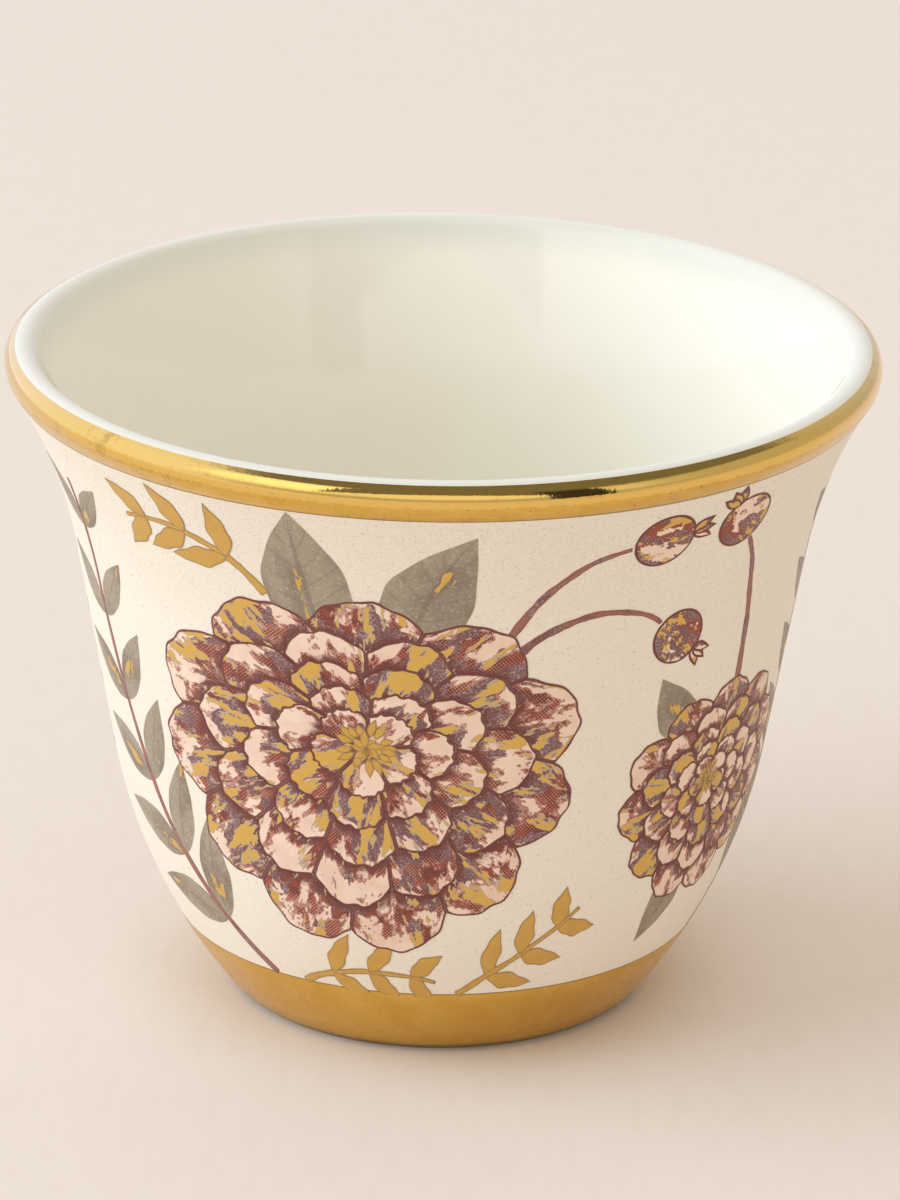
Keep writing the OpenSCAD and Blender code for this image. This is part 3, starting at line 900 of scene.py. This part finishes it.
GRAINY_PLUM = effect("Grainy Plum", [("Flat", VECTOR, None)], [("Colour", COLOUR)], build_plum)
PRINTED_PETAL = effect(
    "Printed Petal", [("Flat", VECTOR, None), ("Petal", VECTOR, None), ("Grain", VECTOR, None),
                      ("Gold Level", FLOAT, 0.58), ("Dark", FLOAT, 0.05)],
    [("Colour", COLOUR), ("Gold", FLOAT)], build_petal)


def printed_finish(name, parts):
    """Satin printed colour, with its gold touches a little metallic and raised.

    The parts are its colour and the mask of its gold. They are built once, with the colour.
    """
    built = {}

    def colour(n):
        tone, built["gold"] = parts(n)
        return tone

    def roughness(n):
        return n.minus(PRINT_ROUGHNESS, n.times(built["gold"], TOUCH_SMOOTHER))

    def metallic(n):
        return n.times(built["gold"], TOUCH_METALLIC)
    return finish_of(name, colour, roughness, metallic, lambda n: built["gold"])


def petal_colour(name, gold_level, dark):
    """The printed petal's finish, with more or less gold and dark in it."""
    return printed_finish(name, lambda n: n.group(
        PRINTED_PETAL, Flat=n.attribute("flat"), Petal=n.attribute("petal"), Grain=n.attribute("grain"),
        Gold_Level=gold_level, Dark=dark))


def hip_parts(n):
    """A screened burgundy hip with a pink shine, plum and gold touches and an outline."""
    flat, grain = n.attribute("flat"), n.attribute("grain")
    across, _, edge = n.split(n.attribute("petal"))
    cover = n.between(n.plus(across, n.noise(flat, 0.5)), -0.1, 1.2, 0.35, 1.1)
    worn = n.stretched(grain, 0.5, 0.4)
    shine = n.group(RAGGED, Grain=worn, Level=n.minus(0.47, n.times(across, 0.12)))
    tone = n.mix(shine, PINK, screened(n, flat, cover, BURGUNDY))
    plum_area = n.group(RAGGED, Grain=worn, Level=0.5)
    tone = n.mix(plum_area, tone, n.group(GRAINY_PLUM, Flat=flat))
    gold = n.group(RAGGED, Grain=n.stretched(grain, 1.0, 0.5), Level=0.56)
    return outlined(n, flat, edge, n.mix(gold, tone, PRINT_GOLD), MAROON, gold)


def stem_colour(n):
    """Mauve and plum ink, darker along its edges."""
    flat = n.attribute("flat")
    plum_area = n.between(n.noise(flat, 0.7, 3.0), 0.4, 0.6)
    tone = n.mix(plum_area, MAUVE_DARK, n.group(GRAINY_PLUM, Flat=flat))
    line = n.between(n.split(n.attribute("petal"))[2], 0.12, 0.02)
    return n.mix(n.times(line, 0.7), tone, BURGUNDY)


def leaf_parts(n):
    """A taupe leaf with a rib, slanting veins, light grit and gold touches along its middle."""
    flat, grain = n.attribute("flat"), n.attribute("grain")
    across, lengthwise, _ = n.split(n.attribute("petal"))
    dark_wash = n.between(n.noise(n.stretched(grain, 0.35, 0.2), 1.0, 3.0), 0.35, 0.75)
    wash = n.mix(dark_wash, TAUPE, TAUPE_DARK)
    side = n.math("ABSOLUTE", across)
    rib = n.between(side, 0.10, 0.04)
    slant = n.math("SINE", n.times(n.minus(lengthwise, n.times(side, 0.16)), 46.0))
    veins = n.times(n.between(slant, 0.80, 1.0), 0.3)
    tone = n.mix(n.math("MAXIMUM", n.times(rib, 0.55), veins), wash, TAUPE_DARK)
    grit = n.group(SPECKLE, Place=flat, Scale=5.0, Amount=0.7)
    tone = n.mix(n.times(grit, 0.15), tone, IVORY)
    middle = n.times(side, side, 0.22)
    gold = n.group(RAGGED, Grain=n.stretched(grain, 0.6, 0.2), Level=n.plus(middle, 0.57))
    return n.mix(gold, tone, PRINT_GOLD), gold


def gold_print_parts(n):
    """Gold ink in two tones, with a fine brown line round it."""
    flat = n.attribute("flat")
    tone = n.mix(n.noise(flat, 0.8, 3.0), PRINT_GOLD, PRINT_GOLD_DEEP)
    line = n.group(OUTLINE, Flat=flat, Edge=n.split(n.attribute("petal"))[2], Width=GOLD_LINE_W)
    return n.mix(n.times(line, 0.7), tone, PRINT_GOLD_LINE), n.minus(1.0, line)


# The coats, from the inside out
glaze = white_glaze()
coat("white_lining", np.vstack([LIP_GOLD, LIP_WHITE[1:], INSIDE[1:]]), -SKIN_T, 0,
     "inner_glaze", glaze)
coat("ivory_wall", np.vstack([FOOT_BAND, PRINT_WALL[1:], RIM_WALL[1:], LIP_BELOW[1:]]), -SKIN_T, 0,
     "outer_ground", ivory_ground())
coat("gold_lip_band", np.vstack([RIM_WALL, LIP_BELOW[1:], LIP_GOLD[1:]]), 0, GILDING_T,
     "rim_gilding", rim_gold(), feather=GOLD_FEATHER)
coat("gold_foot_band", FOOT_BAND, 0, GILDING_T, "foot_gilding", foot_gold(), feather=GOLD_FEATHER)

# The body and the glaze under the foot keep their CAD meshes
for node, material in (("porcelain_body", unglazed_porcelain()), ("base_glaze", glaze)):
    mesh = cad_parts[node].data
    mesh.materials.clear()
    mesh.materials.append(material)
    shade(mesh)

# The printed films, each layer over the one before it
film("frond_leaves", leaf_patches(), 0, "leaf_print",
     printed_finish("leaf_colour", leaf_parts))
film("burgundy_stems", stem_patches(), 1, "stem_print",
     finish_of("stem_colour", stem_colour, PRINT_ROUGHNESS))
gold_print = printed_finish("gold_print", gold_print_parts)
film("gold_sprig_print", sprig_patches(), 2, "gold_sprigs", gold_print)
film("rose_hip_print", hip_patches(), 3, "rose_hips", printed_finish("hip_colour", hip_parts))
film("outer_petals", dahlia_patches((0, 1)), 4, "dahlia_outer_petals",
     petal_colour("outer_petal_colour", 0.575, 0.05))
film("inner_petals", dahlia_patches((2, 3, 4)), 4, "dahlia_inner_petals",
     petal_colour("inner_petal_colour", 0.585, 0.045))
film("gold_hearts", heart_patches(), 5, "dahlia_hearts", gold_print)

# Camera, fitted to the outline in the photograph
CAMERA_AT = (0.0, -0.54425, 0.23552)
PITCH, YAW, ROLL = math.radians(20.554), math.radians(0.079), math.radians(0.774)
PICTURE_H = 1200
FOCAL_PIXELS = 7390.6


def turned_to(where, right, top, ahead):
    """A place and a facing for a camera or a lamp, which look along their own minus z."""
    facing = Matrix(np.stack([right, top, -ahead], 1).tolist())
    return Matrix.Translation(where) @ facing.to_4x4()


def add_camera():
    data = bpy.data.cameras.new("photo_camera")
    data.sensor_width = 36.0
    data.lens = FOCAL_PIXELS * data.sensor_width / PICTURE_H
    data.clip_start = 0.01
    ahead = np.array([math.sin(YAW) * math.cos(PITCH), math.cos(YAW) * math.cos(PITCH), -math.sin(PITCH)])
    level = np.array([math.cos(YAW), -math.sin(YAW), 0.0])
    upward = np.cross(level, ahead)
    right = level * math.cos(ROLL) + upward * math.sin(ROLL)
    top = upward * math.cos(ROLL) - level * math.sin(ROLL)
    obj = bpy.data.objects.new("photo_camera", data)
    obj.matrix_world = turned_to(CAMERA_AT, right, top, ahead)
    bpy.context.scene.collection.objects.link(obj)
    bpy.context.scene.camera = obj


# The table top in metres: just under the cup, and open where the foot hides it
TABLE_Z = -0.01 * MM
TABLE_OPENING_R = (FOOT_C[0] - 0.1) * MM
TABLE_REACH = 5.0


def stage_table(material, steps=96):
    """A round table top, open in the middle so that the base shows from below."""
    a = np.arange(steps) * math.tau / steps
    places = [(r * math.cos(t), r * math.sin(t), TABLE_Z) for r in (TABLE_OPENING_R, TABLE_REACH) for t in a]
    faces = [(i, i + steps, (i + 1) % steps + steps, (i + 1) % steps) for i in range(steps)]
    mesh = bpy.data.meshes.new("table")
    mesh.from_pydata(places, [], faces)
    mesh.materials.append(material)
    obj = bpy.data.objects.new("table", mesh)
    bpy.context.scene.collection.objects.link(obj)


def table_material():
    """Pale paper, that shows only from above so that the cup can be looked at from below."""
    def colour(n):
        metres = n.add("ShaderNodeTexCoord").outputs["Object"]
        paper = n.mix(n.between(n.split(metres)[1], -0.05, 0.35), PAPER_NEAR, PAPER_FAR)
        fibres = n.noise(n.stretched(metres, 620, 170), 1.0, 4.0, 0.6)
        return n.mix(n.times(n.between(fibres, 0.4, 0.75), 0.16), paper, PAPER_FIBRE)
    material = finish_of("table_paper", colour, 0.8)
    n = Nodes(material.node_tree)
    shader, out = material.node_tree.nodes["Principled BSDF"], material.node_tree.nodes["Material Output"]
    see_through = n.add("ShaderNodeBsdfTransparent").outputs[0]
    under = n.add("ShaderNodeNewGeometry").outputs["Backfacing"]
    mixed = n.add("ShaderNodeMixShader", {0: under, 1: shader.outputs[0], 2: see_through})
    n.join(out.inputs[0], mixed.outputs[0])
    return material


# The lamp: cool daylight from the left, in metres and watts
LAMP_AT = (-1.60, -0.15, 0.85)
LAMP_TOWARDS = (0, 0, 0.02)
LAMP_SIZE = (1.9, 1.4)
LAMP_POWER = 23.0
DAYLIGHT = (0.70, 0.85, 1.0)


def add_lamp():
    """A broad lamp. What shines doesn't mirror it, but the softbox of the room in its place."""
    data = bpy.data.lights.new("window_left", "AREA")
    data.shape = "RECTANGLE"
    data.size, data.size_y = LAMP_SIZE
    data.energy = LAMP_POWER
    data.color = DAYLIGHT
    obj = bpy.data.objects.new("window_left", data)
    ahead = np.array(LAMP_TOWARDS) - np.array(LAMP_AT)
    ahead /= np.linalg.norm(ahead)
    side = np.cross(ahead, (0, 0, 1))
    side /= np.linalg.norm(side)
    obj.matrix_world = turned_to(LAMP_AT, side, np.cross(side, ahead), ahead)
    obj.visible_glossy = False
    bpy.context.scene.collection.objects.link(obj)


# Lights of the mirrored room, and of the warm even room that lights everything else
ROOM_LEFT = (1.08, 1.12, 1.36, 1)
ROOM_RIGHT = (0.58, 0.56, 0.53, 1)
NEAR_LOW = (0.60, 0.58, 0.54, 1)
NEAR_HIGH = (1.05, 1.03, 0.98, 1)
RECESS = (0.22, 0.21, 0.20, 1)
SOFTBOX = (1.60, 1.60, 1.56, 1)
DARK_PANEL = (0.05, 0.05, 0.05, 1)
FILL_LEFT = (0.92, 0.83, 0.745, 1)
FILL_RIGHT = (0.64, 0.565, 0.49, 1)
FILL_ABOVE = (0.88, 0.795, 0.705, 1)

# Where the camera's half of the room begins, and how much the arch of the recess bends
NEAR_HALF_Y = -0.001
ARCH_BEND = 0.7


def add_world():
    """A warm even room lights the cup. What shines mirrors a room with more in it.

    That room is bright and cool at the left and dim at the right. Behind the camera it has an arched
    recess, with a softbox to the left of it and a dark panel over its right side. Its ceiling is dark.
    """
    world = bpy.data.worlds.new("studio")
    world.use_nodes = True
    n = Nodes(world.node_tree)
    x, y, z = n.split(n.add("ShaderNodeTexCoord").outputs["Generated"])
    sides = n.mix(n.between(x, -0.7, 0.7), ROOM_LEFT, ROOM_RIGHT)
    near = n.mix(n.between(z, 0.14, 0.32), NEAR_LOW, NEAR_HIGH)
    room = n.mix(n.between(y, -0.2, -0.9), sides, near)
    near_half = n.math("LESS_THAN", y, NEAR_HALF_Y)
    lean = n.math("DIVIDE", x, n.math("MINIMUM", y, NEAR_HALF_Y))
    arch = n.plus(z, n.times(lean, lean, ARCH_BEND))
    recess = n.times(n.between(lean, -0.88, -0.85), n.between(lean, 0.66, 0.62),
                     n.between(arch, 0.61, 0.65), n.between(y, NEAR_HALF_Y, 10 * NEAR_HALF_Y))
    room = n.mix(recess, room, RECESS)
    slanted = n.minus(z, n.times(lean, 0.06))
    softbox = n.times(n.between(lean, 0.62, 0.66), n.between(lean, 3.2, 2.0),
                      n.between(slanted, 0.10, 0.48), n.between(z, 0.86, 0.70), near_half)
    room = n.mix(softbox, room, SOFTBOX)
    panel = n.times(n.between(lean, -0.50, -0.54), n.between(lean, -1.0, -0.96), near_half)
    room = n.mix(panel, room, DARK_PANEL)
    ceiling = n.between(n.plus(z, n.times(x, 0.25)), 0.73, 0.85)
    room = n.mix(ceiling, room, RECESS)
    fill = n.mix(n.between(x, -0.8, 0.8), FILL_LEFT, FILL_RIGHT)
    fill = n.mix(n.between(z, 0.0, 0.9), fill, FILL_ABOVE)
    path = n.add("ShaderNodeLightPath").outputs
    mirrored = n.math("MAXIMUM", path["Is Glossy Ray"], path["Is Transmission Ray"])
    seen = n.math("MAXIMUM", path["Is Camera Ray"], mirrored)
    background = world.node_tree.nodes["Background"]
    n.join(background.inputs[0], n.mix(seen, fill, room))
    background.inputs[1].default_value = 1.0
    bpy.context.scene.world = world


add_camera()
stage_table(table_material())
add_world()
add_lamp()
bpy.context.scene.view_settings.view_transform = "Standard"
